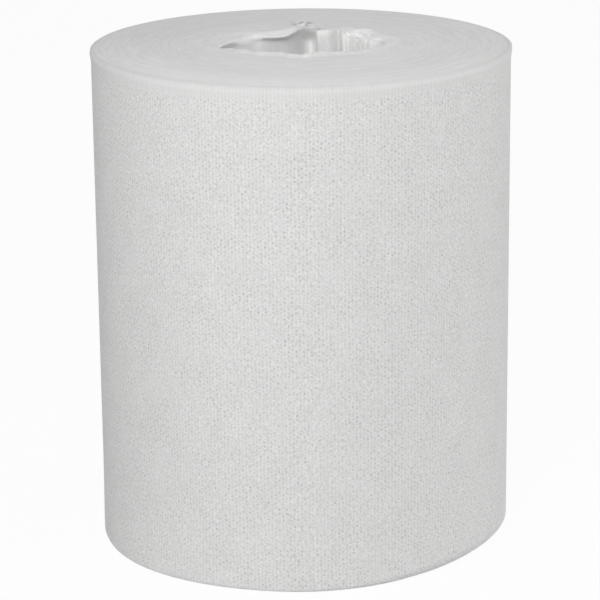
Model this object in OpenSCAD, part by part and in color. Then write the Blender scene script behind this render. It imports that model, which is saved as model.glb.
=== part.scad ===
// Dry wipe roll: one long nonwoven web wound on itself, with no core tube.
// It stands on its end. The origin is the middle of the lower end, +Z runs up the roll's axis
// and the front is towards -Y.

/* [Roll] */
// Diameter over the outer turn
roll_d = 127; // [100:1:180]
// Width of the web, which is the height of the upper rim
web_w = 152; // [100:1:240]
// Thickness of one wound turn, which is the step at the web's free outer edge
web_t = 0.3; // [0.2:0.05:0.6]
// Angle of the free outer edge, counted anticlockwise from +X
tail_angle = 125; // [0:5:355]
// Radius of the soft rim at the upper end
top_rim_r = 1.2; // [0.6:0.1:2.5]
// Radius of the soft rim at the lower end
bottom_rim_r = 1.8; // [0.6:0.1:2.5]

/* [End faces] */
// Spacing of the grooves between bundles of turns
turn_pitch = 2.4; // [1.8:0.1:5]
// Width of a groove
groove_w = 0.8; // [0.4:0.1:1.2]
// Depth of the deepest grooves
groove_d = 0.3; // [0.1:0.05:0.6]
// How far the inner turns stand proud of the upper rim
inner_rise = 0.8; // [0:0.1:2]
// Width of the slope up to the proud inner turns
rise_w = 16; // [8:1:20]

/* [Centre hole] */
// Diameter of the hole between its folds
hole_d = 50; // [32:1:60]
// Size of the soft lip of the hole
lip_r = 0.9; // [0.4:0.1:1.5]
// Depth at which the overhanging fold has slackened
fold_depth = 9; // [6:1:30]
// Reach of the slackened folds, as a share of the hole's radius
slack_reach = 0.82; // [0.6:0.02:0.9]
// Angle that the folds wind round on the way down
fold_twist = 14; // [0:1:40]

/* [Hidden] */

web_colour = [0.93, 0.93, 0.92];
facets = 180;     // segments of a full turn
rim_steps = 5;    // straight steps in a rounded rim

// Cutters pass the faces that they cut by this much
past = 2;
outer_r = roll_d / 2;
// Shift of the arc past the free edge, in web thicknesses: over a half, so that it meets the rim
free_edge_shift = 0.55;
hole_r = hole_d / 2;
top_z = web_w + inner_rise;

// Folds of the innermost turns at the lip: [angle, reach as a share of the hole's radius]
folds = [
  [0, 1.02], [16, 1.06], [26, 0.95], [36, 0.90], [46, 0.92], [53, 1.00],
  [59, 0.86], [68, 0.78], [76, 0.80], [82, 1.00], [91, 1.04], [97, 0.90],
  [105, 0.76], [120, 0.69], [138, 0.67], [150, 0.72], [160, 0.78], [172, 0.80],
  [181, 0.88], [189, 0.98], [205, 0.90], [222, 0.85], [253, 0.78], [266, 0.86],
  [280, 0.79], [302, 0.82], [316, 0.93], [335, 0.98], [360, 1.02]
];
widest_fold = max([for (f = folds) f[1]]);
fold_points = 96;                   // points round the hole
fold_blur = [-4, -2, 0, 2, 4];      // angles that soften a fold's corners
slack_steps = 3;                    // rings in which the overhanging fold slackens
deep_rings = 3;                     // rings down the rest of the hole

// Inner turns are level from the hole's lip out to here
plateau_r = hole_r * widest_fold + lip_r + past;
// The part of the roll that the hole's cutter is sure to remove isn't drawn
unseen_r = hole_r * min([for (f = folds) f[1]]) / 2;

function ease(t) = let (u = min(max(t, 0), 1)) u * u * (3 - 2 * u);

// Height of the upper end face at a radius
function upper_z(r) = web_w + inner_rise * ease((plateau_r + rise_w - r) / rise_w);

// Groove centres, from the outermost inwards
groove_start = outer_r - max(top_rim_r, bottom_rim_r) - turn_pitch;
groove_radii = [for (r = [groove_start : -turn_pitch : plateau_r + groove_w]) r];

// Neighbouring bundles of turns lie unevenly, so their grooves differ in depth
uneven_share = 0.35;
uneven_angle = 137;
function groove_depth(i) = groove_d * (1 - uneven_share + uneven_share * sin(uneven_angle * i));

function arc_points(centre, r, from, to) = [
  for (i = [0 : rim_steps])
    let (a = from + (to - from) * i / rim_steps)
      centre + r * [cos(a), sin(a)]
];

// Half section of the wound web, from the hole outwards along the lower end,
// up the side and back along the upper end
function roll_section() =
  let (
    n = len(groove_radii),
    half = groove_w / 2,
    lower = [
      for (i = [n - 1 : -1 : 0], side = [-1, 0, 1])
        [groove_radii[i] + side * half, side == 0 ? groove_depth(i) : 0]
    ],
    upper = [
      for (i = [0 : n - 1], side = [1, 0, -1])
        let (r = groove_radii[i] + side * half)
          [r, upper_z(r) - (side == 0 ? groove_depth(i + 1) : 0)]
    ],
    lower_rim = arc_points([outer_r - bottom_rim_r, bottom_rim_r], bottom_rim_r, -90, 0),
    upper_rim = arc_points([outer_r - top_rim_r, web_w - top_rim_r], top_rim_r, 0, 90)
  )
  concat(
    [[unseen_r, 0]], lower, lower_rim, upper_rim, upper,
    [[plateau_r, top_z], [unseen_r, top_z]]
  );

// The wound web with an open middle
module wound_web() {
  rotate_extrude($fn = facets)
    polygon(roll_section());
}

// The space beside the free outer edge: the roll is one web thinner just past the edge,
// and an off-centre arc brings it back to its full radius within half a turn
module past_free_edge() {
  arc_shift = free_edge_shift * web_t;
  rotate([0, 0, tail_angle])
    translate([0, 0, -past])
      linear_extrude(top_z + 2 * past)
        difference() {
          intersection() {
            circle(r = outer_r + past, $fn = facets);
            translate([-roll_d, 0]) square([2 * roll_d, roll_d]);
          }
          translate([-arc_shift, 0]) circle(r = outer_r - web_t + arc_shift, $fn = facets);
        }
}

// Reach of the hole's wall at an angle, where no fold reaches further in than the given share
function fold_reach(angle, slack) =
  let (
    reaches = [for (b = fold_blur) max(slack, lookup((angle + b + 360) % 360, folds))],
    ones = [for (b = fold_blur) 1]
  )
  hole_r * (reaches * ones) / len(fold_blur);

// Rings of the hole from below the lower end to above the upper one: [height, slack, widening]
lip_h = 1.5 * lip_r;
lip_ring_h = 0.4 * lip_r;
lip_ring_out = 0.6 * lip_r;
deep_top = top_z - fold_depth;
hole_rings = concat(
  [[-past, slack_reach, lip_r + past], [lip_ring_h, slack_reach, lip_ring_out]],
  [for (i = [0 : deep_rings]) [lip_h + (deep_top - lip_h) * i / deep_rings, slack_reach, 0]],
  [
    for (i = [1 : slack_steps])
      let (t = i / slack_steps)
        [deep_top + (fold_depth - lip_h) * t, slack_reach * (1 - ease(t)), 0]
  ],
  [[top_z - lip_ring_h, 0, lip_ring_out], [top_z + past, 0, lip_r + past]]
);

// The crumpled centre hole, as a closed cutter
module centre_hole() {
  n = fold_points;
  rows = len(hole_rings);
  points = [
    for (ring = hole_rings, i = [0 : n - 1])
      let (
        a = i * 360 / n,
        wind = fold_twist * (top_z - ring[0]) / top_z,
        r = fold_reach(a + wind, ring[1]) + ring[2]
      )
        [r * cos(a), r * sin(a), ring[0]]
  ];
  sides = [
    for (row = [0 : rows - 2], i = [0 : n - 1])
      let (a = row * n + i, b = row * n + (i + 1) % n)
        each [[a, a + n, b + n], [a, b + n, b]]
  ];
  low_cap = [for (i = [0 : n - 1]) i];
  high_cap = [for (i = [n - 1 : -1 : 0]) (rows - 1) * n + i];
  polyhedron(points, concat(sides, [low_cap, high_cap]), convexity = 8);
}

module wipe_roll() {
  color(web_colour)
    difference() {
      wound_web();
      past_free_edge();
      centre_hole();
    }
}

wipe_roll();
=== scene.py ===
"""Dry wipe roll: a coreless roll of embossed nonwoven web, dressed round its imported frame.

The web is built as three pieces: the embossed outer turns, the wound turns inside them with both
end faces and the wall of the centre hole, and the loose innermost turn that lines the hole.
"""
import math

import bpy
import numpy as np
from bpy.props import FloatProperty, FloatVectorProperty, IntProperty, PointerProperty
from bpy.types import Operator, Panel, PropertyGroup
from mathutils import Matrix, Vector, noise


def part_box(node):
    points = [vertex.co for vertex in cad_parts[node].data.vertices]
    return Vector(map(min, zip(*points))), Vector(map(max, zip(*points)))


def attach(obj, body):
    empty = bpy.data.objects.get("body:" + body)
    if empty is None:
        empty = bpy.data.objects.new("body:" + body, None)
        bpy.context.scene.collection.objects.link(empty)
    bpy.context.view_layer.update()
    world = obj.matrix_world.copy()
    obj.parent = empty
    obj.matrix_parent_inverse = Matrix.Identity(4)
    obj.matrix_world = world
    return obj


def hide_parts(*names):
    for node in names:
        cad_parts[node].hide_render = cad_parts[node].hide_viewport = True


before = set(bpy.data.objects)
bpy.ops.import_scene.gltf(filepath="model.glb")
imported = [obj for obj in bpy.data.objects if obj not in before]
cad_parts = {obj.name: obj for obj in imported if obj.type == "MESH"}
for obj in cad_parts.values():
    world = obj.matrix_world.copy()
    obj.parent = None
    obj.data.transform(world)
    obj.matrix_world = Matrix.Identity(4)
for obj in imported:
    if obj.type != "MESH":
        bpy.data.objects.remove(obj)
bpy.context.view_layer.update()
ROLL_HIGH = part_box("wipe_roll")[1]

bl_info = {
    "name": "Dry wipe roll",
    "version": (1, 0, 0),
    "blender": (4, 5, 0),
    "location": "3D View > Sidebar > Wipe roll",
    "description": "Builds a coreless roll of embossed nonwoven wipes with a crumpled centre hole",
    "category": "Add Mesh",
}

MM = 0.001
BODY = "root"
# How far the inner turns stand proud of the upper rim, in millimetres
INNER_RISE = 0.8

# Lap of an end face and a rim: how far each dips under the other, the width of that dip on the face, and
# how far inside the rounding of the rim the face starts
LAP_FALL = 0.015 * MM
LAP_FADE = 0.5 * MM
INSIDE_RIM = 0.3 * MM

# Columns, rows and rings of the meshes
WOUND_COLUMNS = 450
WALL_ROWS = 44
UPPER_RINGS = 92
LOWER_RINGS = 52
LOOSE_COLUMNS = 400
LOOSE_ROWS = 46
# Rows over a rim, in its lap and over the hole's lip as shares, and over the hole's lower lip in degrees
RIM_ROWS = np.array([0.35, 0.7, 1.0])
LAP_ROWS = np.array([0.85, 1.0])
LIP_ROWS = np.array([0.17, 0.36, 0.56, 0.78, 1.0])
LOWER_LIP_ROWS = np.array([30.0, 60.0])

# Stretches round the roll: (centre, half width) in degrees anticlockwise from +X
SOFT_FRONT = (265.0, 115.0)
# Stretch of painted light at the front of the upper rim and the upper face
PAINTED_LIGHT_FRONT = (268.0, 100.0)
CRUSHED_PART = (328.0, 62.0)
SWOLLEN_PART = (218.0, 42.0)
WIDE_BAND = (236.0, 40.0)
# Stretch of painted shade at the back left of the upper face
PAINTED_SHADE_BACK = (152.0, 75.0)
BACK_RECESS = (85.0, 8.0)
LEFT_RECESS = (174.0, 26.0)
FRAYED_LIP = (255.0, 95.0)
ROUGH_LIP = (34.0, 30.0)
PUFFED_FOLDS = (34.0, 24.0)
SMOOTH_LOBE = (69.0, 10.0)

# Uneven shapes: one or more waves of (size in metres, seed, strength)
DOT_PATCHES = ((8.0 * MM, 3, 0.5), (2.5 * MM, 4, 0.3))
FACE_WAVES = ((22.0 * MM, 5, 0.12 * MM),)
WRINKLES = ((1.5 * MM, 6, 1.0), (0.8 * MM, 14, 0.5))
ROUGHNESS = ((1.6 * MM, 13, 1.8), (0.9 * MM, 15, 1.26))
FRAYS = ((3.5 * MM, 17, 0.35), (1.4 * MM, 18, 0.35))
# Painted highlights: pale flecks along the crest of the front lip
FLECK_HIGHLIGHTS = ((2.0 * MM, 19, 0.9),)
WALL_CRUMPLES = ((3.5 * MM, 8, 1.0),)
WALL_STRIPES = ((1.3 * MM, 20, 0.35),)
LOOSE_CRUMPLES = ((4.0 * MM, 9, 0.7), (1.6 * MM, 10, 0.3))
PUFFS = ((2.6 * MM, 12, 1.0),)
# The same for the turns' edges, with sizes counted in ridges
UPPER_RELIEF = ((1.0, 11, 1.0), (0.4, 12, 0.6))
LOWER_RELIEF = ((1.0, 21, 1.0), (0.4, 22, 0.6))
# Seed of the chance numbers that make the dots uneven
DOT_SEED = 7

# Repeat of the dot pattern in columns and half-site rows, and how deep a plain dot is beside a deep one
REPEAT_COLUMNS = 5.0
REPEAT_ROWS = 10.0
PLAIN_DOT = 0.75
# Whole numbers that are this close are the same
NEAR = 0.2

# Free outer edge: the gap beside it, its wave, and the angle after which the next turn has settled on it
EDGE_GAP = 0.25 * MM
EDGE_WAVE = 21.0 * MM
SETTLED_AFTER = math.radians(150.0)
# Height of the lowest row of lattice sites, and height over which the dots fade in above the lower rim
FIRST_ROW = 0.15 * MM
LOW_FADE = 1.2 * MM
# Width over which the swelling of the lower end grows, from the inner end of the lap outwards
SWELL_FADE = 1.2 * MM
# The upper rim gets painted light this far down. The front of the upper face gets painted light from one
# radius to the other
PAINTED_LIGHT_RIM = 0.3 * MM
PAINTED_LIGHT_FROM = 40.0 * MM
PAINTED_LIGHT_TO = 62.0 * MM
# The back left of the upper face gets painted shade from one radius to the other
PAINTED_SHADE_FROM = 34.0 * MM
PAINTED_SHADE_TO = 48.0 * MM

# Turns of web that the end faces show, turns to one ridge of their edges, and radius of a turn in ridges
TURNS_SHOWN = 130.0
TURNS_PER_RIDGE = 3.2
RIDGE_CIRCLE = 6.0
# Inner turns are level out to this radius
PLATEAU = 29.4 * MM
# Widths of the sagging band, the band of painted light and shade, and the rough and frayed bands round the
# lip of the hole
SAG_WIDTH = 4.5 * MM
PAINTED_LIP_WIDTH = 5.0 * MM
ROUGH_WIDTH = 5.85 * MM
FRAY_WIDTH = 2.2 * MM
# Radius at which the painted highlight flecks of the front lip are read
FLECK_HIGHLIGHT_RADIUS = 20.0 * MM
# Wrinkled patch behind the hole: its centre and half widths across and backwards, in millimetres
PATCH_CENTRE = (0.6, 32.0)
PATCH_SIZE = (3.0, 4.8)
# Lip of the hole at the lower end, and the lower edge of the loose turn
LOWER_LIP = 1.4 * MM
LOOSE_END = 0.8 * MM
# Depth over which the hole's wall leaves its lip and its painted light rises to full white, and depth at
# which it is fully crumpled
LIP_DEPTH = 1.0 * MM
CRUMPLE_DEPTH = 2.0 * MM
# Depths over which the loose turn leans back and comes to its full waves
LEAN_DEPTH = 1.2 * MM
WAVE_DEPTH = 3.0 * MM
# A recess has opened at the first depth. It is closed at the second, after closing over the third
RECESS_OPEN = 4.5 * MM
RECESS_SHUT = 30.0 * MM
RECESS_CLOSING = 18.0 * MM

# Folds round the hole: (degrees anticlockwise from +X, millimetres from the axis)
INNER_FOLDS = [
    (0, 24.4), (6, 24.6), (11, 24.2), (14, 23.4), (18, 22.2), (24, 21.7), (30, 21.8), (35, 22.1),
    (40, 22.1), (41.5, 23.2), (43, 24.4), (45, 24.0), (46, 22.4), (47.5, 21.4), (49.5, 21.5),
    (50.8, 22.2), (52, 21.3), (53.8, 21.5), (55.5, 22.1), (57, 22.6), (58.5, 23.1), (60, 23.5),
    (61, 22.6), (62.5, 20.9), (64.5, 19.6), (67.5, 19.0), (71, 18.7), (74.5, 18.8), (76, 19.4),
    (76.6, 22.2), (77.6, 24.4), (79.5, 24.9), (82, 26.8), (85, 27.4), (87.5, 27.2), (90, 26.2),
    (93, 24.6), (96.5, 22.6), (101, 20.9), (107, 19.6), (114, 18.9), (121, 18.8), (127, 19.3),
    (133, 20.3), (138, 20.4), (145, 20.5), (153, 20.9), (170, 22.0), (180, 23.4), (189, 25.4),
    (196, 25.6), (202, 22.6), (209, 20.3), (223, 19.5), (240, 18.6), (254, 17.5), (264, 19.7),
    (270, 21.2), (277, 18.7), (288, 18.2), (300, 19.6), (314, 22.0), (329, 23.5), (343, 24.0),
    (355, 24.3), (360, 24.4),
]
# Height of the loose turn's upper edge against the wound turns: (degrees, millimetres)
INNER_EDGE = [
    (0, -0.9), (12, -1.0), (18, -0.6), (24, -0.8), (30, -1.1), (38, -1.8), (43, -2.3), (46, -1.9),
    (49, -1.7), (51.5, -0.9), (53.8, -0.1), (57, 0.2), (65, 0.25), (72, 0.15), (77, 0.0), (82, -0.3),
    (180, -0.3), (205, -0.8), (330, -0.7), (360, -0.9),
]
# The loose turn lines the hole from one of these angles to the other. The wound turns are bare elsewhere
INNER_TURN_FROM = -158.0
INNER_TURN_TO = 79.0
# How the wound turns roll into the hole: (degrees, lip radius, sag and overhang of the lip in millimetres,
# curl in degrees, and the lip's painted light: above 0 a painted highlight, below 0 painted shade)
LIP_SHAPE = [
    (0, 0.9, 0.1, 0, 0, 0.5), (10, 1.0, 0.2, 0, 0, 0.8), (16, 1.2, 0.3, 0, 0, 1.0),
    (24, 1.3, 0.6, 0, 0, 1.0), (32, 1.2, 1.0, 0, 0, 1.0), (42, 1.2, 1.1, 0, 0, 1.0),
    (48, 1.1, 0.8, 0, 0, 1.0), (54, 0.8, 0.4, 0, 0, 0.8), (58, 0.5, 0.1, 0, 0, 0.4),
    (63, 0.3, 0.0, 0, 0, 0.1), (77, 0.3, 0.0, 0, 0, -0.5), (81, 0.5, 0.1, 0, 0, -1.3),
    (84, 0.7, 0.2, 0.1, 5, -1.6), (89, 0.7, 0.2, 0.3, 25, -1.4), (92, 0.5, 0.2, 0.9, 45, 0.0),
    (95, 0.35, 0.3, 1.9, 50, 0.8), (99, 0.4, 0.6, 2.5, 55, 1.0), (103, 0.4, 0.8, 2.5, 55, 1.0),
    (115, 0.4, 0.85, 1.9, 55, 1.0), (126, 0.4, 0.55, 1.9, 55, 1.0), (130, 0.5, 0.4, 0.9, 45, 1.0),
    (134, 0.9, 0.5, 0.1, 10, 0.6), (140, 2.2, 0.6, 0, 0, 0.1), (148, 2.2, 0.6, 0.1, 5, -0.1),
    (157, 1.2, 0.3, 0.5, 20, 0.0), (166, 0.6, 0.1, 1.0, 40, 0.2), (177, 0.4, 0.0, 1.2, 50, 0.1),
    (189, 0.3, 0.0, 1.2, 50, 0.0), (196, 0.5, 0.0, 0.3, 25, 0.1), (200, 0.6, -0.1, 0, 0, 0.2),
    (230, 0.9, -0.4, 0, 0, 0.5), (270, 1.0, -0.4, 0, 0, 0.5), (310, 0.8, -0.4, 0, 0, 0.4),
    (345, 0.9, -0.2, 0, 0, 0.4), (360, 0.9, 0.1, 0, 0, 0.5),
]


def length(name, description, millimetres):
    """A size in metres whose default is given in millimetres."""
    return FloatProperty(name=name, description=description, default=millimetres * MM, unit="LENGTH",
                         precision=5)


def angle(name, description, degrees):
    """An angle whose default is given in degrees."""
    return FloatProperty(name=name, description=description, default=math.radians(degrees), subtype="ANGLE")


def share(name, description, value):
    """A plain number from 0 to 1."""
    return FloatProperty(name=name, description=description, default=value, min=0.0, max=1.0,
                         subtype="FACTOR")


def colour(name, description, value):
    """A linear colour."""
    return FloatVectorProperty(name=name, description=description, default=value, size=3, min=0.0, max=1.0,
                               subtype="COLOR")


class RollSizes(PropertyGroup):
    """Sizes of the wound web"""
    radius: length("Radius", "Radius over the outer turn", ROLL_HIGH.x / MM)
    web_width: length("Web width", "Height of the upper rim", ROLL_HIGH.z / MM - INNER_RISE)
    web_thickness: length("Web thickness", "Step at the free outer edge", 0.3)
    lap: length("Lap", "How far the outer turns pass under the end faces inside their rims", 0.8)
    tail_angle: angle("Free edge", "Angle of the free outer edge from +X", 125.0)
    tail_lift: length("Edge lift", "How far the free edge stands off the roll", 0.35)
    tail_slack: length("Edge slack", "Length of web that lifts at the free edge", 12.0)
    side_rim: length("Side rim", "Radius of the upper rim away from the front", 0.3)
    front_rim: length("Front rim", "Radius of the upper rim at the front", 2.6)
    lower_rim: length("Lower rim", "Radius of the lower rim", 0.7)
    crushed_rim: length("Crushed rim", "Radius of the lower rim where it was set down hard", 5.6)
    swelling: length("Swelling", "How far the lower end swells at the front left", 1.5)
    swelling_height: length("Swelling height", "Height over which it swells", 22.0)
    flare: length("Flare", "How far the web spreads at the upper rim", 0.4)
    flare_height: length("Flare height", "Height over which the web spreads", 4.0)
    inner_rise: length("Inner rise", "How far the inner turns stand proud of the rim", INNER_RISE)
    rise_width: length("Rise width", "Width of the slope up to the inner turns", 16.0)
    end_relief: length("End relief", "Unevenness of the turns' edges at both ends", 0.05)


class EmbossSizes(PropertyGroup):
    """Sizes of the embossed dots"""
    columns: IntProperty(name="Columns", description="Columns of dots round the roll", default=366, min=12)
    row_pitch: length("Row pitch", "Height of half a site of the dot lattice", 0.645)
    dot_radius: length("Dot radius", "Radius of one dot", 0.46)
    dot_depth: length("Dot depth", "Depth of one dot in the mesh", 0.10)
    plain_band: length("Plain band", "Smooth band below the upper rim", 2.4)
    band_fade: length("Band fade", "Height over which the dots fade in below that band", 3.0)


class HoleSizes(PropertyGroup):
    """Sizes of the centre hole"""
    fold_depth: length("Fold depth", "Depth at which the folds have slackened", 11.0)
    slack_radius: length("Slack radius", "Least radius of the slackened folds", 20.5)
    pocket: length("Pocket", "How far the deep fold at the back falls back below its edge", 5.0)
    twist: angle("Twist", "Angle that the folds wind round on the way down", 14.0)
    web_gap: length("Web gap", "Space between the loose innermost turn and the wall", 0.8)
    loose_thickness: length("Loose thickness", "Thickness of the loose innermost turn", 0.36)
    lean: length("Lean", "How far the loose turn's upper edge leans back", 0.35)
    crumple: length("Crumple", "Depth of the small crumples in the hole", 0.25)
    puffs: length("Puffs", "How far the crumpled folds at the right puff out", 1.3)
    # Painted shade: the depth of a fold at which its crease is painted darkest
    crease: length("Crease", "Depth at which a crease of the loose turn is darkest", 4.0)


class WebLooks(PropertyGroup):
    """Colours and tones of the web"""
    web: colour("Web", "Colour of the embossed web", (0.74, 0.74, 0.735))
    edges: colour("Edges", "Colour of the turns' edges at the ends", (0.83, 0.83, 0.826))
    # Partly the loose web's own whiter tone, partly painted light standing in for light through the thin web;
    # the painted light of the other pieces lifts their colour towards it
    loose: colour("Loose web", "Colour of the loose innermost turn", (0.95, 0.95, 0.945))
    # The pressed dots are darker partly in their own tone, partly as painted shade of their pits
    dot_tone_and_painted_shade: share("Dot shade", "How much darker the pressed dots are", 0.3)
    outer_mottle: share("Outer mottle", "How uneven the tone of the outer turns is", 0.65)
    loose_mottle: share("Loose mottle", "How uneven the tone of the loose turn is", 0.2)
    edge_mottle: share("Edge mottle", "How uneven the tone of the turns' edges is", 0.16)
    glow: share("Glow", "Share of the light that spreads inside the wound turns", 0.3)
    streaks: share("Streaks", "Strength of the faint streaks along the web", 0.012)
    # Painted shade in the creases of the loose turn
    crease_painted_shade: share("Crease shade", "How much darker the creases of the loose turn are", 0.18)


class StageSizes(PropertyGroup):
    """Camera, lights and floor"""
    camera_place: FloatVectorProperty(name="Camera", description="Place of the camera",
                                      default=(0.0, -0.8166, 0.3059), subtype="XYZ", unit="LENGTH")
    camera_aim: FloatVectorProperty(name="Aim", description="Point that the camera looks at",
                                    default=(-0.00096, 0.0, 0.07172), subtype="XYZ", unit="LENGTH")
    camera_roll: angle("Camera roll", "Turn of the camera about its view", -0.6)
    lens: FloatProperty(name="Lens", description="Focal length in millimetres", default=164.2)
    floor_width: length("Floor width", "Side of the square floor", 8000.0)
    sky: share("Sky", "Strength of the even light from all round", 0.34)


class WipeRollSettings(PropertyGroup):
    """All the settings of the wipe roll"""
    roll: PointerProperty(type=RollSizes)
    emboss: PointerProperty(type=EmbossSizes)
    hole: PointerProperty(type=HoleSizes)
    looks: PointerProperty(type=WebLooks)
    stage: PointerProperty(type=StageSizes)


# Small shape helpers

def ease(t):
    """A smooth step from 0 to 1."""
    u = np.clip(t, 0.0, 1.0)
    return u * u * (3.0 - 2.0 * u)


def hill(degrees, centre, half_width):
    """A smooth hill round the roll: 1 at its centre angle and 0 past its half width."""
    away = np.abs((degrees - centre + 180.0) % 360.0 - 180.0)
    return ease(1.0 - away / half_width)


def edge_inset(depth, radius):
    """How far a rounded edge is drawn in at a distance from its corner."""
    left = np.clip(radius - depth, 0.0, None)
    return radius - np.sqrt(np.maximum(radius * radius - left * left, 0.0))


def round_lookup(stations, degrees, field=1, blur=(0.0,)):
    """A value that is given at some angles, read round the roll and softened."""
    at = [s[0] for s in stations]
    values = [s[field] for s in stations]
    return sum(np.interp((degrees + b) % 360.0, at, values) for b in blur) / len(blur)


def polar(radius, degrees, height):
    """Points from a radius, an angle and a height, which may be arrays of like shape."""
    radians = np.radians(degrees)
    parts = np.broadcast_arrays(radius * np.cos(radians), radius * np.sin(radians), height)
    return np.stack(parts, axis=-1)


def ripple(points, waves):
    """Smooth noise at each point: a sum of waves, each with its size, seed and strength."""
    total = np.zeros(points.shape[:-1])
    for size, seed, strength in waves:
        shift = Vector((17.3 * seed, 5.9 * seed, 11.1 * seed))
        values = [noise.noise(Vector(p) + shift) for p in points.reshape(-1, 3) / size]
        total = total + strength * np.array(values).reshape(total.shape)
    return total


def grid_mesh(name, points, attributes, strip=False):
    """A closed mesh of quads from points that run round the roll and its section. A strip has two ends."""
    around, along = points.shape[:2]
    u, v = np.meshgrid(np.arange(around - 1 if strip else around), np.arange(along), indexing="ij")
    u_next = (u + 1) % around
    v_next = (v + 1) % along
    corners = [u * along + v, u_next * along + v, u_next * along + v_next, u * along + v_next]
    quads = np.stack(corners, axis=-1).reshape(-1, 4).tolist()
    if strip:
        last = (around - 1) * along
        for k in range(along // 2 - 1):
            end = [k, k + 1, along - 2 - k, along - 1 - k]
            quads.append(end)
            quads.append([last + i for i in reversed(end)])
    mesh = bpy.data.meshes.new(name)
    mesh.from_pydata(points.reshape(-1, 3).tolist(), [], quads)
    for key, values in attributes.items():
        layer = mesh.attributes.new(key, "FLOAT", "POINT")
        layer.data.foreach_set("value", np.ascontiguousarray(values, dtype=np.float32).ravel())
    mesh.shade_smooth()
    mesh.update()
    return mesh


def place_piece(name, mesh):
    """A new object at the origin, in the scene."""
    piece = bpy.data.objects.new(name, mesh)
    bpy.context.scene.collection.objects.link(piece)
    return piece


def upper_rim(roll, degrees):
    """Radius of the upper rim at an angle: softest at the front."""
    return roll.side_rim + (roll.front_rim - roll.side_rim) * hill(degrees, *SOFT_FRONT)


def lower_rim(roll, degrees):
    """Radius of the lower rim at an angle: crushed at the front right."""
    return roll.lower_rim + (roll.crushed_rim - roll.lower_rim) * hill(degrees, *CRUSHED_PART)


def set_down(roll, points):
    """The outer turns' points, swollen low down at the front left, apart from the inner end of the lap."""
    radius = np.hypot(points[..., 0], points[..., 1])
    degrees = np.degrees(np.arctan2(points[..., 1], points[..., 0]))
    lap_end = roll.radius - roll.lower_rim - roll.lap
    outside_lap = np.clip((radius - lap_end) / SWELL_FADE, 0.0, 1.0)
    low_down = ease(1.0 - points[..., 2] / roll.swelling_height)
    swell = roll.swelling * hill(degrees, *SWOLLEN_PART) * low_down * outside_lap
    wider = 1.0 + swell / radius
    return points * np.stack([wider, wider, np.ones_like(wider)], axis=-1)


def front_painted_light(degrees):
    """How much painted light the upper rim and the front of the upper face get at an angle: most at the
    front.
    """
    return 0.7 * hill(degrees, *PAINTED_LIGHT_FRONT)


def rim_end(roll, rim, start, degrees, upwards):
    """Radius, angle and height of the rows that carry a rim over its crest and under the end face."""
    over = start + (rim - start) * RIM_ROWS[None, :]
    under = rim + roll.lap * LAP_ROWS[None, :]
    offset = np.concatenate([over, under], axis=1)
    fall = edge_inset(offset, rim) + LAP_FALL * np.clip((offset - rim) / roll.lap, 0.0, 1.0)
    height = roll.web_width - fall if upwards else fall
    return roll.radius - offset, degrees, height


def outer_turn_grid(roll, emboss):
    """Points of the embossed outer turns, and each point's column, row, embossing and painted light."""
    columns = emboss.columns
    turn = np.linspace(EDGE_GAP / roll.radius, 2.0 * math.pi, columns)[:, None]
    degrees = np.degrees(roll.tail_angle + turn)
    rows = int((roll.web_width - 2.0 * FIRST_ROW) / emboss.row_pitch) + 1
    height = (FIRST_ROW + emboss.row_pitch * np.arange(rows))[None, :]

    settled = ease(turn / SETTLED_AFTER)
    lifting = ease((turn - 2.0 * math.pi) * roll.radius / roll.tail_slack + 1.0)
    wave = 0.65 + 0.35 * np.sin(height / EDGE_WAVE + 0.8)
    radius = roll.radius - roll.web_thickness * (1.0 - settled) + roll.tail_lift * lifting * wave

    upper = upper_rim(roll, degrees)
    lower = lower_rim(roll, degrees)
    from_top = roll.web_width - height
    drawn_in = edge_inset(height, lower) + edge_inset(from_top, upper)
    spread = roll.flare * ease(1.0 - from_top / roll.flare_height)
    side = polar(radius - drawn_in + spread, degrees, height)
    high_end = polar(*rim_end(roll, upper, edge_inset(from_top[:, -1:], upper), degrees, True))
    low_end = polar(*rim_end(roll, lower, edge_inset(height[:, :1], lower), degrees, False))[:, ::-1]
    points = np.concatenate([low_end, side, high_end], axis=1)

    column = np.broadcast_to(np.arange(columns)[:, None], points.shape[:2])
    row = np.broadcast_to(np.arange(points.shape[1])[None, :] - low_end.shape[1], points.shape[:2])
    below_rim = roll.web_width - points[..., 2]
    band = emboss.plain_band * (1.0 + 0.25 * hill(degrees, *WIDE_BAND))
    dotted = ease((below_rim - band) / emboss.band_fade) * ease(points[..., 2] / LOW_FADE)
    patches = 0.75 + ripple(points, DOT_PATCHES)
    uneven = np.random.default_rng(DOT_SEED).uniform(0.3, 1.0, points.shape[:2])
    strength = dotted * np.clip(patches, 0.1, 1.0) * uneven
    # Painted light: the upper rim's crest is painted paler at the front
    white = front_painted_light(degrees) * ease(1.0 - below_rim / PAINTED_LIGHT_RIM)
    attributes = {"column": column, "row": row, "emboss": strength, "plain": 1.0 - dotted, "white": white}
    return set_down(roll, points), attributes


def fold_radius(degrees, blur):
    """Radius of the innermost turn's folds at the edge of the hole, softened over an angle."""
    return round_lookup(INNER_FOLDS, degrees, 1, np.linspace(-blur, blur, 5)) * MM


def bare_part(degrees):
    """1 where no loose turn lies in front of the wound turns, and 0 elsewhere."""
    past = degrees % 360.0
    return ease((past - INNER_TURN_TO) / 5.0) * ease((INNER_TURN_FROM + 360.0 - past) / 10.0)


def pocket_depth(hole, degrees, depth):
    """How far the deep folds at the back and at the left fall back at a depth below their edge."""
    closing = ease((RECESS_SHUT - depth) / RECESS_CLOSING)
    hollows = hill(degrees, *BACK_RECESS) + 0.35 * hill(degrees, *LEFT_RECESS)
    return hole.pocket * hollows * ease(depth / RECESS_OPEN) * closing


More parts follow.
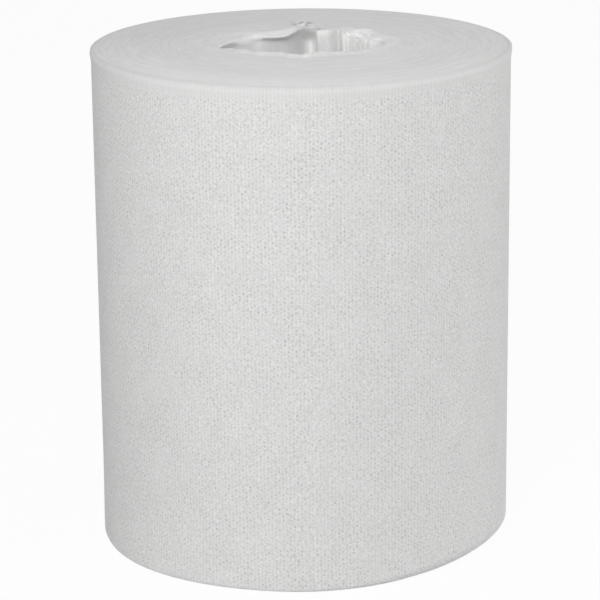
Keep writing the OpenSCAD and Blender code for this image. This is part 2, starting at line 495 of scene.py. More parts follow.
def wall_at(hole, degrees, depth):
    """Radius of the wound turns' wall, bare or behind the loose turn, slackening with depth."""
    nearby = np.arange(-2.5, 2.6, 0.5)
    behind = np.max([fold_radius(degrees + b, 1.0) for b in nearby], axis=0) + hole.web_gap
    wall = behind + (fold_radius(degrees, 1.5) - behind) * bare_part(degrees)
    slack = np.maximum(wall, hole.slack_radius)
    return wall + (slack - wall) * ease(depth / hole.fold_depth) + pocket_depth(hole, degrees, depth)


def lip_at(degrees):
    """Radius, sag, overhang, curl and painted light and shade of the wound turns' lip at each angle."""
    blur = np.linspace(-2.5, 2.5, 5)
    soft, sag, overhang = (round_lookup(LIP_SHAPE, degrees, field, blur) * MM for field in (1, 2, 3))
    curl = round_lookup(LIP_SHAPE, degrees, 4, blur)
    # Painted highlights: pale flecks along the frayed front lip
    fleck_highlights = ripple(polar(FLECK_HIGHLIGHT_RADIUS, degrees, 0.0), FLECK_HIGHLIGHTS)
    white = round_lookup(LIP_SHAPE, degrees, 5, blur) + hill(degrees, *FRAYED_LIP) * fleck_highlights
    return soft, sag, overhang, curl, white


def rings_inward(rings, outer, start):
    """Share of the way in and radius of each ring of an end face, from its outer edge to the hole."""
    part = np.concatenate([[0.0, 0.003], np.linspace(0.012, 1.0, rings)])[None, :]
    middle = start.mean()
    edge = outer.mean()
    round_hole = (start - middle) * part ** 3
    round_rim = (outer - edge) * (1.0 - part) ** 3
    return part, edge + (middle - edge) * part + round_hole + round_rim


def turn_relief(roll, degrees, part, waves):
    """Unevenness of the turns' edges: low ridges that follow the winding and fade at both ends."""
    winding = polar(RIDGE_CIRCLE + 0.0 * part, degrees, TURNS_SHOWN * part / TURNS_PER_RIDGE)
    return roll.end_relief * ripple(winding, waves) * ease(6.0 * (1.0 - part)) * ease(12.0 * part)


def lapped(outer, radius):
    """How far an end face dips where it meets the rim."""
    return LAP_FALL * (1.0 - ease((outer - radius) / LAP_FADE))


def wrinkled_patch(flat):
    """The small patch behind the hole: how much of it is at each point, and its wrinkles."""
    across = (flat[..., 0] / MM - PATCH_CENTRE[0]) / PATCH_SIZE[0]
    backwards = (flat[..., 1] / MM - PATCH_CENTRE[1]) / PATCH_SIZE[1]
    patch = np.exp(-across ** 2 - backwards ** 2)
    return patch, patch * ripple(flat * np.array([1.0, 0.6, 1.0]), WRINKLES)


def crumpled_lip(hole, degrees, flat, past_lip):
    """How far the rough and the frayed stretches of the hole's lip stand up."""
    rough = hill(degrees, *ROUGH_LIP) * ease(1.0 - past_lip / ROUGH_WIDTH) * ripple(flat, ROUGHNESS)
    frayed = hill(degrees, *FRAYED_LIP) * ease(1.0 - past_lip / FRAY_WIDTH) * (0.2 + ripple(flat, FRAYS))
    return hole.crumple * rough + MM * frayed


def upper_face(roll, hole, degrees, lip_start, sag, white):
    """Part, radius, height and painted light and shade of the upper end face, from the rim to the lip of the
    hole.
    """
    outer = roll.radius - upper_rim(roll, degrees) - INSIDE_RIM
    part, radius = rings_inward(UPPER_RINGS, outer, lip_start)
    flat = polar(radius, degrees, 0.0 * radius)
    past_lip = radius - lip_start
    patch, wrinkles = wrinkled_patch(flat)
    height = roll.web_width + roll.inner_rise * ease((PLATEAU + roll.rise_width - radius) / roll.rise_width)
    height = height + turn_relief(roll, degrees, part, UPPER_RELIEF)
    height = height + ripple(flat, FACE_WAVES) * ease(4.0 * part)
    height = height + 0.4 * MM * patch + 0.7 * MM * wrinkles
    height = height + crumpled_lip(hole, degrees, flat, past_lip)
    height = height - sag * ease(1.0 - past_lip / SAG_WIDTH) - lapped(outer, radius)

    # Painted light and shade: the lip's band takes the lip's painted highlight and shade, the front is
    # painted paler, the back left gets painted shade, and the wrinkles get painted highlights on their ridges
    # and painted shade in their furrows and at the patch's middle
    painted_light_and_shade = white * ease(2.0 * (PAINTED_LIP_WIDTH - past_lip) / PAINTED_LIP_WIDTH)
    painted_light_and_shade = np.maximum(painted_light_and_shade, front_painted_light(degrees) * ease((radius - PAINTED_LIGHT_FROM) / (PAINTED_LIGHT_TO - PAINTED_LIGHT_FROM)))
    painted_light_and_shade = painted_light_and_shade - 0.5 * hill(degrees, *PAINTED_SHADE_BACK) * ease((radius - PAINTED_SHADE_FROM) / (PAINTED_SHADE_TO - PAINTED_SHADE_FROM))
    return part, radius, height, painted_light_and_shade + np.clip(9.0 * wrinkles - 0.6 * patch, -3.6, 1.0)


def hole_wall(roll, hole, degrees, lip_radius, lip_height):
    """Radius, height and depth of the hole's wall, from its lip down to the lower end."""
    fall = np.linspace(0.0, 1.0, WALL_ROWS + 1)[None, 1:] ** 2.0
    height = lip_height + (LOWER_LIP - lip_height) * fall
    depth = lip_height - height
    turned = degrees + np.degrees(hole.twist) * depth / (roll.web_width + roll.inner_rise)
    radius = wall_at(hole, turned, depth)
    radius = radius + (lip_radius - radius) * (1.0 - ease(depth / LIP_DEPTH))
    smooth = polar(radius, degrees, height)
    crumples = ripple(smooth * np.array([1.0, 1.0, 0.4]), WALL_CRUMPLES)
    stripes = ripple(smooth * np.array([1.0, 1.0, 0.15]), WALL_STRIPES)
    return radius + hole.crumple * (crumples + stripes) * ease(depth / CRUMPLE_DEPTH), height, depth


def lower_face(roll, degrees, wall_radius):
    """Part and points of the lower end, from the hole's lip outwards. The lip's rows have no part."""
    bend = np.radians(LOWER_LIP_ROWS)[None, :]
    lip = polar(wall_radius + LOWER_LIP * (1.0 - np.cos(bend)), degrees, LOWER_LIP * (1.0 - np.sin(bend)))
    outer = roll.radius - lower_rim(roll, degrees) - INSIDE_RIM
    part, radius = rings_inward(LOWER_RINGS, outer, wall_radius + LOWER_LIP)
    relief = np.abs(turn_relief(roll, degrees, part, LOWER_RELIEF))
    face = polar(radius, degrees, relief + lapped(outer, radius))
    return part[:, ::-1], np.concatenate([lip, face[:, ::-1]], axis=1)


def wound_turns_grid(roll, hole):
    """Points of the wound turns over both ends and down the hole, with each point's turn and painted light
    and shade.
    """
    degrees = np.linspace(0.0, 360.0, WOUND_COLUMNS, endpoint=False)[:, None]
    soft, sag, overhang, curl, white = lip_at(degrees)
    lip_start = wall_at(hole, degrees, 0.0) - overhang + soft
    part, radius, height, face_painted_light_and_shade = upper_face(roll, hole, degrees, lip_start, sag, white)
    bend = np.radians(LIP_ROWS[None, :] * (90.0 + curl))
    lip_radius = lip_start - soft * np.sin(bend)
    lip_height = height[:, -1:] - soft * (1.0 - np.cos(bend))
    wall_radius, wall_height, depth = hole_wall(roll, hole, degrees, lip_radius[:, -1:], lip_height[:, -1:])
    end_part, end = lower_face(roll, degrees, wall_radius[:, -1:])
    face = polar(radius, degrees, height)
    lip = polar(lip_radius, degrees, lip_height)
    wall = polar(wall_radius, degrees, wall_height)
    points = np.concatenate([face, lip, wall, end], axis=1)

    in_hole = np.ones((1, points.shape[1] - part.shape[1] - end_part.shape[1]))
    turns = np.concatenate([part, in_hole, end_part], axis=1) * TURNS_SHOWN
    # Painted light: below its lip the hole's wall is painted white, standing in for light through the thin
    # web
    wall_painted_light_and_shade = white + (1.0 - white) * ease(depth / LIP_DEPTH)
    end_white = np.zeros(end.shape[:2])
    whites = np.concatenate([face_painted_light_and_shade, white * np.ones((1, lip.shape[1])), wall_painted_light_and_shade, end_white], axis=1)
    return points, {"turn": np.broadcast_to(turns, points.shape[:2]), "white": whites}


def inner_turn_grid(roll, hole, emboss):
    """Points of the loose innermost turn, a thin sheet, with each point's numbers and the sheet's length."""
    degrees = np.linspace(INNER_TURN_FROM, INNER_TURN_TO, LOOSE_COLUMNS)[:, None]
    top = roll.web_width + roll.inner_rise
    start = top + round_lookup(INNER_EDGE, degrees, 1, (-1.5, 0.0, 1.5)) * MM
    fall = np.linspace(0.0, 1.0, LOOSE_ROWS)[None, :] ** 1.9
    height = start + (LOOSE_END - start) * fall
    depth = start - height
    turned = degrees + np.degrees(hole.twist) * depth / top
    fold = fold_radius(turned, 0.7)
    # Painted shade: how far a fold lies behind its nearest crest sets how dark its crease is painted
    nearby = np.arange(-7.0, 7.1, 1.0)
    crest = np.min([fold_radius(turned + b, 0.7) for b in nearby], axis=0)
    crease = np.clip((fold - crest) / hole.crease, 0.0, 1.0)
    slack = np.maximum(fold, hole.slack_radius)
    radius = fold + (slack - fold) * ease(depth / hole.fold_depth) + pocket_depth(hole, turned, depth)
    squeezed = polar(radius, degrees, height) * np.array([1.0, 1.0, 0.45])
    calmer = (1.0 - 0.8 * hill(degrees, *SMOOTH_LOBE)) * (0.5 + 0.5 * ease(depth / WAVE_DEPTH))
    puffed = hill(degrees, *PUFFED_FOLDS) * np.abs(ripple(squeezed, PUFFS))
    radius = radius + hole.crumple * ripple(squeezed, LOOSE_CRUMPLES) * calmer - hole.puffs * puffed
    radius = radius + hole.lean * (1.0 - ease(depth / LEAN_DEPTH))
    front = polar(radius, degrees, height)
    back = polar(radius + hole.loose_thickness, degrees, height)
    points = np.concatenate([front, back[:, ::-1]], axis=1)

    step = np.linalg.norm(np.diff(front[:, 0, :2], axis=0), axis=1)
    along = np.concatenate([[0.0], np.cumsum(step)])
    pitch = 2.0 * math.pi * roll.radius / emboss.columns
    column = np.broadcast_to((along / pitch)[:, None], points.shape[:2])
    row = points[..., 2] / emboss.row_pitch
    strength = 0.3 * ease((top - points[..., 2]) / emboss.band_fade)
    crease = np.concatenate([crease, crease[:, ::-1]], axis=1)
    return points, {"column": column, "row": row, "emboss": strength, "crease": crease}, float(along[-1])


# Node helpers

# Noise scales of the web's tone and fibres
CLOUDS_PER_METRE = 140.0
SPECKS_PER_METRE = 2200.0
FIBRES_PER_METRE = 2600.0


def feed(tree, socket, value):
    """Feeds a node's input from another node's output, or sets it to a plain value."""
    if isinstance(value, bpy.types.NodeSocket):
        tree.links.new(value, socket)
    else:
        socket.default_value = value


def maths(tree, operation, *values):
    """The result of one step of arithmetic on sockets and plain numbers."""
    node = tree.nodes.new("ShaderNodeMath")
    node.operation = operation
    for socket, value in zip(node.inputs, values):
        feed(tree, socket, value)
    return node.outputs[0]


def vector_maths(tree, operation, vector, other=None, scale=None):
    """The result of one step of arithmetic on a vector, with another vector or a scale if it needs one."""
    node = tree.nodes.new("ShaderNodeVectorMath")
    node.operation = operation
    feed(tree, node.inputs[0], vector)
    if other is not None:
        feed(tree, node.inputs[1], other)
    if scale is not None:
        feed(tree, node.inputs["Scale"], scale)
    return node.outputs["Vector"]


def combined(tree, *parts):
    """A vector from its parts along X, Y and Z."""
    node = tree.nodes.new("ShaderNodeCombineXYZ")
    for socket, value in zip(node.inputs, parts):
        feed(tree, socket, value)
    return node.outputs["Vector"]


def add_sockets(tree, in_out, sockets):
    """Names the inputs or the outputs of a node tree."""
    for name, kind in sockets:
        tree.interface.new_socket(name, in_out=in_out, socket_type="NodeSocket" + kind)


def dotted_site(tree, column, row):
    """How deep each lattice site is pressed. The pattern repeats after five columns, half a repeat higher up.

    The first and third columns of five carry a deep pair and a single dot, with gaps between them. The other
    columns carry four dots and a gap, which lies beside the pairs.
    """
    def same(value, other):
        return maths(tree, "COMPARE", value, other, NEAR)

    def distance(value, other):
        return maths(tree, "ABSOLUTE", maths(tree, "SUBTRACT", value, other))

    block = maths(tree, "FLOOR", maths(tree, "DIVIDE", column, REPEAT_COLUMNS))
    which = maths(tree, "FLOORED_MODULO", column, REPEAT_COLUMNS)
    raised = maths(tree, "MULTIPLY_ADD", block, -0.5 * REPEAT_ROWS, maths(tree, "ADD", row, 1.0))
    place = maths(tree, "FLOORED_MODULO", raised, REPEAT_ROWS)
    away = distance(place, 0.5 * REPEAT_ROWS)
    paired = same(distance(which, 1.0), 1.0)
    single = maths(tree, "MULTIPLY_ADD", same(away, 2.0), -PLAIN_DOT, PLAIN_DOT)
    with_pair = maths(tree, "MULTIPLY_ADD", same(away, 4.0), 1.0 - PLAIN_DOT, single)
    gap_at = maths(tree, "MULTIPLY", same(which, 4.0), 0.5 * REPEAT_ROWS)
    with_gap = maths(tree, "MULTIPLY_ADD", same(place, gap_at), -PLAIN_DOT, PLAIN_DOT)
    return maths(tree, "MULTIPLY_ADD", paired, maths(tree, "SUBTRACT", with_pair, with_gap), with_gap)


def emboss_tree():
    """Geometry nodes that press the dots of the lattice into the web."""
    tree = bpy.data.node_groups.new("emboss_dots", "GeometryNodeTree")
    add_sockets(tree, "INPUT", [("Web", "Geometry"), ("Dot Depth", "Float"), ("Finish", "Material")])
    add_sockets(tree, "OUTPUT", [("Embossed Web", "Geometry")])
    given = tree.nodes.new("NodeGroupInput")
    result = tree.nodes.new("NodeGroupOutput")
    read = {}
    for key in ("column", "row", "emboss"):
        node = tree.nodes.new("GeometryNodeInputNamedAttribute")
        node.data_type = "FLOAT"
        node.inputs["Name"].default_value = key
        read[key] = node.outputs["Attribute"]
    both = maths(tree, "ADD", read["column"], read["row"])
    on_site = maths(tree, "COMPARE", maths(tree, "FLOORED_MODULO", both, 2.0), 0.0, NEAR)
    pressed = maths(tree, "MULTIPLY", dotted_site(tree, read["column"], read["row"]), on_site)
    pressed = maths(tree, "MULTIPLY", pressed, read["emboss"])
    depth = maths(tree, "MULTIPLY", maths(tree, "MULTIPLY", pressed, given.outputs["Dot Depth"]), -1.0)
    outwards = tree.nodes.new("GeometryNodeInputNormal").outputs["Normal"]
    press = tree.nodes.new("GeometryNodeSetPosition")
    feed(tree, press.inputs["Geometry"], given.outputs["Web"])
    feed(tree, press.inputs["Offset"], vector_maths(tree, "SCALE", outwards, scale=depth))
    whole = tree.nodes.new("GeometryNodeRealizeInstances")
    feed(tree, whole.inputs["Geometry"], press.outputs["Geometry"])
    finish = tree.nodes.new("GeometryNodeSetMaterial")
    feed(tree, finish.inputs["Geometry"], whole.outputs["Geometry"])
    feed(tree, finish.inputs["Material"], given.outputs["Finish"])
    feed(tree, result.inputs["Embossed Web"], finish.outputs["Geometry"])
    return tree


def apply_tree(piece, tree, values):
    """Runs a geometry tree on a piece with its inputs set by name, and keeps the result as a plain mesh."""
    modifier = piece.modifiers.new(tree.name, "NODES")
    modifier.node_group = tree
    for item in tree.interface.items_tree:
        if item.item_type == "SOCKET" and item.in_out == "INPUT" and item.name in values:
            modifier[item.identifier] = values[item.name]
    depsgraph = bpy.context.evaluated_depsgraph_get()
    mesh = bpy.data.meshes.new_from_object(piece.evaluated_get(depsgraph), depsgraph=depsgraph)
    piece.modifiers.remove(modifier)
    mesh.name = piece.name
    piece.data = mesh


def group_nodes(name, inputs, outputs):
    """A shader node group with named inputs and outputs, and the sockets to read and to feed inside it."""
    tree = bpy.data.node_groups.new(name, "ShaderNodeTree")
    add_sockets(tree, "INPUT", inputs)
    add_sockets(tree, "OUTPUT", outputs)
    return tree, tree.nodes.new("NodeGroupInput").outputs, tree.nodes.new("NodeGroupOutput").inputs


def clouds(tree, vector, scale, detail, roughness=0.5):
    """A noise texture's value, from 0 to 1."""
    node = tree.nodes.new("ShaderNodeTexNoise")
    feed(tree, node.inputs["Vector"], vector)
    feed(tree, node.inputs["Scale"], scale)
    node.inputs["Detail"].default_value = detail
    node.inputs["Roughness"].default_value = roughness
    return node.outputs[0]


def remap(tree, value, from_low, from_high, to_low, to_high, interpolation="LINEAR"):
    """A value carried from one range to another."""
    node = tree.nodes.new("ShaderNodeMapRange")
    node.interpolation_type = interpolation
    for key, number in zip(("Value", "From Min", "From Max", "To Min", "To Max"),
                           (value, from_low, from_high, to_low, to_high)):
        feed(tree, node.inputs[key], number)
    return node.outputs["Result"]


def from_site(tree, place, site, chance, pitch):
    """Distance from a lattice site along one way. A chance number from 0 to 1 shifts the site a little."""
    stray = maths(tree, "MULTIPLY", maths(tree, "SUBTRACT", chance, 0.5), 0.3)
    return maths(tree, "MULTIPLY", maths(tree, "ADD", maths(tree, "SUBTRACT", place, site), stray), pitch)


def embossed_dots_group():
    """Shader group: a mask of the dots, from a place on the web counted in columns and half-site rows."""
    tree, given, result = group_nodes(
        "embossed_dots",
        [("Column", "Float"), ("Row", "Float"), ("Column Pitch", "Float"), ("Row Pitch", "Float"),
         ("Dot Radius", "Float")],
        [("Mask", "Float"), ("Streak", "Float")])
    column = maths(tree, "ROUND", given["Column"])
    odd = maths(tree, "FLOORED_MODULO", column, 2.0)
    site = maths(tree, "DIVIDE", maths(tree, "SUBTRACT", given["Row"], odd), 2.0)
    nearest = maths(tree, "ROUND", site)
    row = maths(tree, "MULTIPLY_ADD", nearest, 2.0, odd)
    chance = tree.nodes.new("ShaderNodeTexWhiteNoise")
    chance.noise_dimensions = "2D"
    feed(tree, chance.inputs["Vector"], combined(tree, column, row))
    stray = tree.nodes.new("ShaderNodeSeparateColor")
    feed(tree, stray.inputs["Color"], chance.outputs["Color"])
    across = from_site(tree, given["Column"], column, stray.outputs["Red"], given["Column Pitch"])
    upwards = from_site(tree, given["Row"], row, stray.outputs["Green"], given["Row Pitch"])
    squared = maths(tree, "MULTIPLY_ADD", across, across, maths(tree, "MULTIPLY", upwards, upwards))
    away = maths(tree, "DIVIDE", maths(tree, "SQRT", squared), given["Dot Radius"])
    dot = remap(tree, away, 0.25, 1.15, 1.0, 0.0, "SMOOTHSTEP")
    feed(tree, result["Mask"], maths(tree, "MULTIPLY", dot, dotted_site(tree, column, row)))
    along = combined(tree, given["Column"], maths(tree, "MULTIPLY", given["Row"], 0.06))
    wander = maths(tree, "SUBTRACT", clouds(tree, along, 0.9, 1.0), 0.5)
    ribs = maths(tree, "COSINE", maths(tree, "MULTIPLY", given["Column"], 2.0 * math.pi))
    streak = maths(tree, "MULTIPLY_ADD", wander, 4.0, maths(tree, "MULTIPLY", ribs, -1.4))
    feed(tree, result["Streak"], streak)
    return tree


def web_fibres_group():
    """Shader group: the uneven tone and the fine fibres of a nonwoven web."""
    tree, given, result = group_nodes(
        "web_fibres",
        [("Vector", "Vector"), ("Tone Spread", "Float")],
        [("Tone", "Float"), ("Height", "Float")])
    cloud = clouds(tree, given["Vector"], CLOUDS_PER_METRE, 3.0)
    speck = clouds(tree, given["Vector"], SPECKS_PER_METRE, 1.0)
    fibre = clouds(tree, given["Vector"], FIBRES_PER_METRE, 2.0, 0.6)
    mixed = maths(tree, "ADD", maths(tree, "MULTIPLY", cloud, 0.12), maths(tree, "MULTIPLY", speck, 0.88))
    uneven = maths(tree, "MULTIPLY", maths(tree, "SUBTRACT", mixed, 0.5), given["Tone Spread"])
    feed(tree, result["Tone"], maths(tree, "ADD", uneven, 1.0))
    feed(tree, result["Height"], maths(tree, "ADD", maths(tree, "MULTIPLY", fibre, 0.6),
                                       maths(tree, "MULTIPLY", speck, 0.4)))
    return tree


def turn_lines_group():
    """Shader group: the fine lines that the edges of the turns make on the ends of the roll."""
    tree, given, result = group_nodes(
        "turn_lines", [("Vector", "Vector"), ("Turn", "Float")], [("Tone", "Float"), ("Height", "Float")])
    level = vector_maths(tree, "MULTIPLY", given["Vector"], other=(1.0, 1.0, 0.0))
    parts = tree.nodes.new("ShaderNodeSeparateXYZ")
    feed(tree, parts.inputs["Vector"], vector_maths(tree, "NORMALIZE", level))

    def streaks(turn_scale, round_scale):
        across, back = (maths(tree, "MULTIPLY", parts.outputs[key], round_scale) for key in ("X", "Y"))
        place = combined(tree, across, back, maths(tree, "MULTIPLY", given["Turn"], turn_scale))
        return clouds(tree, place, 1.0, 2.0)

    broad = streaks(0.25, 4.0)
    fine = streaks(0.9, 9.0)
    both = maths(tree, "ADD", maths(tree, "MULTIPLY", broad, 0.5), maths(tree, "MULTIPLY", fine, 0.5))
    feed(tree, result["Tone"], maths(tree, "MULTIPLY_ADD", maths(tree, "SUBTRACT", both, 0.5), 0.4, 1.0))
    feed(tree, result["Height"], both)
    return tree


def place_group(tree, group):
    """Places a shader group in a material."""
    node = tree.nodes.new("ShaderNodeGroup")
    node.node_tree = group
    return node


def attribute(tree, name):
    """One of the piece's own numbers."""
    node = tree.nodes.new("ShaderNodeAttribute")
    node.attribute_name = name
    return node.outputs["Fac"]


def new_finish(name, glow=0.0):
    """A matte material with a bump, ready for its colour and height. The glow is light spread inside it."""
    material = bpy.data.materials.new(name)
    material.use_nodes = True
    tree = material.node_tree
    shader = tree.nodes["Principled BSDF"]
    shader.inputs["Roughness"].default_value = 0.9
    shader.inputs["Specular IOR Level"].default_value = 0.25
    shader.inputs["Sheen Weight"].default_value = 0.05
    shader.inputs["Subsurface Weight"].default_value = glow
    shader.inputs["Subsurface Radius"].default_value = (1.0, 1.0, 1.0)
    shader.inputs["Subsurface Scale"].default_value = 2.0 * MM
    place = tree.nodes.new("ShaderNodeTexCoord").outputs["Object"]
    bump = tree.nodes.new("ShaderNodeBump")
    feed(tree, shader.inputs["Normal"], bump.outputs["Normal"])
    return material, tree, shader, bump, place


def embossed_finish(name, fibres, dots, settings, tint, dot_tone_and_painted_shade, mottle):
    """The web's finish: white fibres with pressed, slightly darker dots, partly painted shade, with painted
    light and shade from the piece's numbers.
    """
    material, tree, shader, bump, place = new_finish(name)
    fibre = place_group(tree, fibres)
    feed(tree, fibre.inputs["Vector"], place)
    calmer = maths(tree, "MULTIPLY_ADD", attribute(tree, "plain"), -0.7 * mottle, mottle)
    feed(tree, fibre.inputs["Tone Spread"], calmer)
    dot = place_group(tree, dots)
    feed(tree, dot.inputs["Column"], attribute(tree, "column"))
    feed(tree, dot.inputs["Row"], attribute(tree, "row"))
    dot.inputs["Column Pitch"].default_value = 2.0 * math.pi * settings.roll.radius / settings.emboss.columns
    dot.inputs["Row Pitch"].default_value = settings.emboss.row_pitch
    dot.inputs["Dot Radius"].default_value = settings.emboss.dot_radius
    pressed = maths(tree, "MULTIPLY", dot.outputs["Mask"], attribute(tree, "emboss"))
    # The dots darker: partly their own tone, partly painted shade
    shade = maths(tree, "MULTIPLY_ADD", pressed, -dot_tone_and_painted_shade, 1.0)
    looks = settings.looks
    streaked = maths(tree, "MULTIPLY_ADD", attribute(tree, "plain"), looks.streaks / 3.0, looks.streaks)
    shade = maths(tree, "MULTIPLY_ADD", dot.outputs["Streak"], streaked, shade)
    # Painted shade in the creases of the loose turn
    shade = maths(tree, "MULTIPLY_ADD", attribute(tree, "crease"), -looks.crease_painted_shade, shade)
    # Painted light and shade from the piece's white number
    painted_light_gain = looks.loose[0] / tint[0] - 1.0
    shade = maths(tree, "MULTIPLY_ADD", attribute(tree, "white"), painted_light_gain, shade)
    tone = maths(tree, "MULTIPLY", fibre.outputs["Tone"], shade)
    feed(tree, shader.inputs["Base Color"], vector_maths(tree, "SCALE", tint, scale=tone))
    height = maths(tree, "MULTIPLY_ADD", pressed, -1.0, maths(tree, "MULTIPLY", fibre.outputs["Height"], 0.7))
    feed(tree, bump.inputs["Height"], height)
    bump.inputs["Distance"].default_value = 0.12 * MM
    bump.inputs["Strength"].default_value = 0.8
    return material


def turn_edges_finish(fibres, lines, settings):
    """The finish of the roll's ends: the edges of the turns, packed side by side."""
    material, tree, shader, bump, place = new_finish("turn_edges", settings.looks.glow)
    fibre = place_group(tree, fibres)
    feed(tree, fibre.inputs["Vector"], place)
    fibre.inputs["Tone Spread"].default_value = settings.looks.edge_mottle
    line = place_group(tree, lines)
    feed(tree, line.inputs["Vector"], place)
    feed(tree, line.inputs["Turn"], attribute(tree, "turn"))
    tone = maths(tree, "MULTIPLY", fibre.outputs["Tone"], line.outputs["Tone"])
    # Painted light and shade from the piece's white number
    painted_light_gain = settings.looks.loose[0] / settings.looks.edges[0] - 1.0
    tone = maths(tree, "MULTIPLY", tone, maths(tree, "MULTIPLY_ADD", attribute(tree, "white"), painted_light_gain, 1.0))
    feed(tree, shader.inputs["Base Color"], vector_maths(tree, "SCALE", settings.looks.edges, scale=tone))
    height = maths(tree, "MULTIPLY_ADD", fibre.outputs["Height"], 0.3, line.outputs["Height"])
    feed(tree, bump.inputs["Height"], height)
    bump.inputs["Distance"].default_value = 0.15 * MM
    bump.inputs["Strength"].default_value = 0.6
    return material


def finishes(settings):
    """Makes the roll's materials once, and finds them again for the later pieces."""
    if "embossed_web" in bpy.data.materials:
        return {key: bpy.data.materials[key] for key in ("embossed_web", "turn_edges", "loose_web")}
    fibres = web_fibres_group()
    dots = embossed_dots_group()
    lines = turn_lines_group()
    looks = settings.looks
    return {
        "embossed_web": embossed_finish("embossed_web", fibres, dots, settings,
                                        looks.web, looks.dot_tone_and_painted_shade, looks.outer_mottle),
        "loose_web": embossed_finish("loose_web", fibres, dots, settings,
                                     looks.loose, 0.3 * looks.dot_tone_and_painted_shade, looks.loose_mottle),
        "turn_edges": turn_edges_finish(fibres, lines, settings),
    }


class WIPE_ROLL_OT_outer_turn(Operator):
    """Build the embossed outer turns with their rims and free edge"""
    bl_idname = "wipe_roll.outer_turn"
    bl_label = "Outer turns"

    def execute(self, context):
        settings = context.scene.wipe_roll
        points, attributes = outer_turn_grid(settings.roll, settings.emboss)
        mesh = grid_mesh("outer_turn", points, attributes)
        around, along = points.shape[:2]
        sharp = mesh.attributes.new("sharp_edge", "BOOLEAN", "EDGE")
        ends = np.empty(2 * len(mesh.edges), dtype=np.int32)
        mesh.edges.foreach_get("vertices", ends)
        columns = ends.reshape(-1, 2) // along
        at_step = (columns[:, 0] == columns[:, 1]) & np.isin(columns[:, 0], (0, around - 1))
        sharp.data.foreach_set("value", at_step)
        piece = place_piece("outer_turn", mesh)
        finish = finishes(settings)["embossed_web"]
        apply_tree(piece, emboss_tree(), {"Dot Depth": settings.emboss.dot_depth, "Finish": finish})
        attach(piece, BODY)
        return {"FINISHED"}


class WIPE_ROLL_OT_wound_turns(Operator):
    """Build the wound turns: both end faces and the wall of the centre hole"""
    bl_idname = "wipe_roll.wound_turns"
    bl_label = "Wound turns"

    def execute(self, context):
        settings = context.scene.wipe_roll
        points, attributes = wound_turns_grid(settings.roll, settings.hole)
        piece = place_piece("wound_turns", grid_mesh("wound_turns", points, attributes))
        piece.data.materials.append(finishes(settings)["turn_edges"])
        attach(piece, BODY)
        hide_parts("wipe_roll")
        return {"FINISHED"}


class WIPE_ROLL_OT_inner_turn(Operator):
    """Build the loose innermost turn that lines the hole"""
    bl_idname = "wipe_roll.inner_turn"
    bl_label = "Inner turn"

    def execute(self, context):
        settings = context.scene.wipe_roll
        points, attributes, strip = inner_turn_grid(settings.roll, settings.hole, settings.emboss)
        mesh = grid_mesh("inner_turn", points, attributes, strip=True)
        piece = place_piece("inner_turn", mesh)
        piece.data.materials.append(finishes(settings)["loose_web"])
        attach(piece, BODY)
        return {"FINISHED"}


# Lamps: name, place and size in metres, and power in watts
LAMPS = (
    ("left_lamp", (-1.87, -1.57, 0.6), 0.8, 4.3),
    ("front_lamp", (-0.4, -2.25, 1.1), 0.8, 7.7),
    ("near_lamp", (-0.1, -0.6, 0.6), 0.35, 2.35),
    ("right_lamp", (1.3, 0.0, 0.36), 0.45, 2.0),
    ("back_lamp", (1.22, 0.45, 0.36), 0.45, 3.6),
)
LAMP_TARGET = (0.0, 0.0, 0.08)


def aim(obj, target, roll=0.0):
    """Turns a camera or lamp towards a point, then about its own view."""
    towards = Vector(target) - obj.location
    turned = towards.to_track_quat("-Z", "Y").to_matrix().to_4x4() @ Matrix.Rotation(roll, 4, "Z")
    obj.rotation_euler = turned.to_euler()


def soft_lamp(name, place, size, power):
    """A square soft area lamp that shines on the middle of the roll."""
    data = bpy.data.lights.new(name, "AREA")
    data.size = size
    data.energy = power
    lamp = bpy.data.objects.new(name, data)
    lamp.location = place
    bpy.context.scene.collection.objects.link(lamp)
    aim(lamp, LAMP_TARGET)


def seen_directly(tree):
    """1 for rays that show the background: those of the camera, of gloss and of glass."""
    path = tree.nodes.new("ShaderNodeLightPath").outputs
    shown = maths(tree, "MAXIMUM", path["Is Camera Ray"], path["Is Glossy Ray"])
    return maths(tree, "MAXIMUM", shown, path["Is Transmission Ray"])


def floor_finish():
    """A white studio floor that keeps a faint shadow."""
    material = bpy.data.materials.new("studio_floor")
    material.use_nodes = True
    tree = material.node_tree
    tree.nodes.clear()
    matte = tree.nodes.new("ShaderNodeBsdfDiffuse")
    matte.inputs["Color"].default_value = (0.85, 0.85, 0.85, 1.0)
    white = tree.nodes.new("ShaderNodeEmission")
    mix = tree.nodes.new("ShaderNodeMixShader")
    feed(tree, mix.inputs[0], maths(tree, "MULTIPLY", seen_directly(tree), 0.95))
    feed(tree, mix.inputs[1], matte.outputs[0])
    feed(tree, mix.inputs[2], white.outputs[0])
    output = tree.nodes.new("ShaderNodeOutputMaterial")
    feed(tree, output.inputs["Surface"], mix.outputs[0])
    return material


def studio_sky(strength):
    """An even sky that lights the roll at the given strength and shows as white."""
    world = bpy.data.worlds.new("studio_sky")
    world.use_nodes = True
    tree = world.node_tree
    back = tree.nodes["Background"]
    back.inputs["Color"].default_value = (1.0, 1.0, 1.0, 1.0)
    feed(tree, back.inputs["Strength"], remap(tree, seen_directly(tree), 0.0, 1.0, strength, 1.0))
    return world


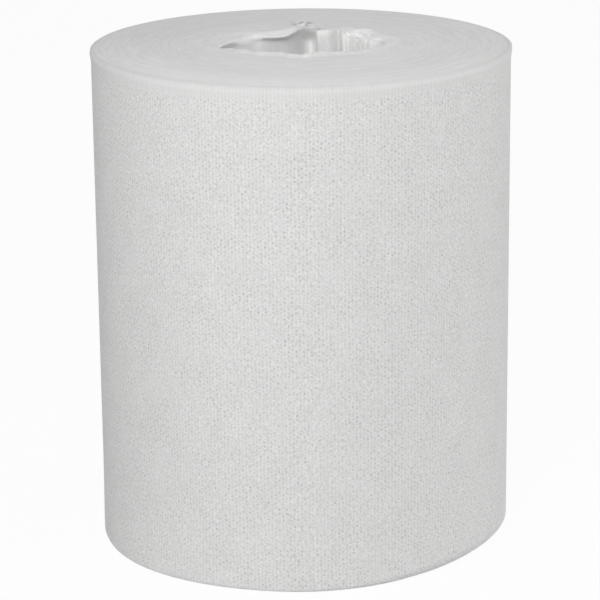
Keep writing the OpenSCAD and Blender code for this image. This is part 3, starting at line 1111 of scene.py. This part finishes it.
class WIPE_ROLL_OT_stage(Operator):
    """Build the floor, the lights and the camera"""
    bl_idname = "wipe_roll.stage"
    bl_label = "Stage"

    def execute(self, context):
        scene = context.scene
        stage = scene.wipe_roll.stage
        half = stage.floor_width / 2
        mesh = bpy.data.meshes.new("floor")
        corners = [(-half, -half, 0.0), (half, -half, 0.0), (half, half, 0.0), (-half, half, 0.0)]
        mesh.from_pydata(corners, [], [(0, 1, 2, 3)])
        mesh.materials.append(floor_finish())
        place_piece("floor", mesh)

        for lamp in LAMPS:
            soft_lamp(*lamp)
        scene.world = studio_sky(stage.sky)
        scene.view_settings.view_transform = "Standard"

        data = bpy.data.cameras.new("camera")
        data.lens = stage.lens
        camera = bpy.data.objects.new("camera", data)
        camera.location = stage.camera_place
        scene.collection.objects.link(camera)
        aim(camera, stage.camera_aim, stage.camera_roll)
        scene.camera = camera
        return {"FINISHED"}


class WIPE_ROLL_PT_panel(Panel):
    """The wipe roll's pieces and their sizes"""
    bl_idname = "WIPE_ROLL_PT_panel"
    bl_label = "Wipe roll"
    bl_space_type = "VIEW_3D"
    bl_region_type = "UI"
    bl_category = "Wipe roll"

    def draw(self, context):
        settings = context.scene.wipe_roll
        for operator in OPERATORS:
            self.layout.operator(operator.bl_idname)
        for group in (settings.roll, settings.emboss, settings.hole, settings.looks, settings.stage):
            box = self.layout.box()
            box.label(text=group.bl_rna.description)
            for key in group.__annotations__:
                box.prop(group, key)


SETTINGS = (RollSizes, EmbossSizes, HoleSizes, WebLooks, StageSizes, WipeRollSettings)
OPERATORS = (WIPE_ROLL_OT_stage, WIPE_ROLL_OT_outer_turn, WIPE_ROLL_OT_wound_turns, WIPE_ROLL_OT_inner_turn)
CLASSES = (*SETTINGS, *OPERATORS, WIPE_ROLL_PT_panel)


def register():
    for cls in CLASSES:
        bpy.utils.register_class(cls)
    bpy.types.Scene.wipe_roll = PointerProperty(type=WipeRollSettings)


def unregister():
    del bpy.types.Scene.wipe_roll
    for cls in reversed(CLASSES):
        bpy.utils.unregister_class(cls)


def main():
    """Builds the stage and the pieces."""
    register()
    bpy.ops.wipe_roll.stage()
    bpy.ops.wipe_roll.outer_turn()
    bpy.ops.wipe_roll.wound_turns()
    bpy.ops.wipe_roll.inner_turn()


if __name__ == "__main__":
    main()
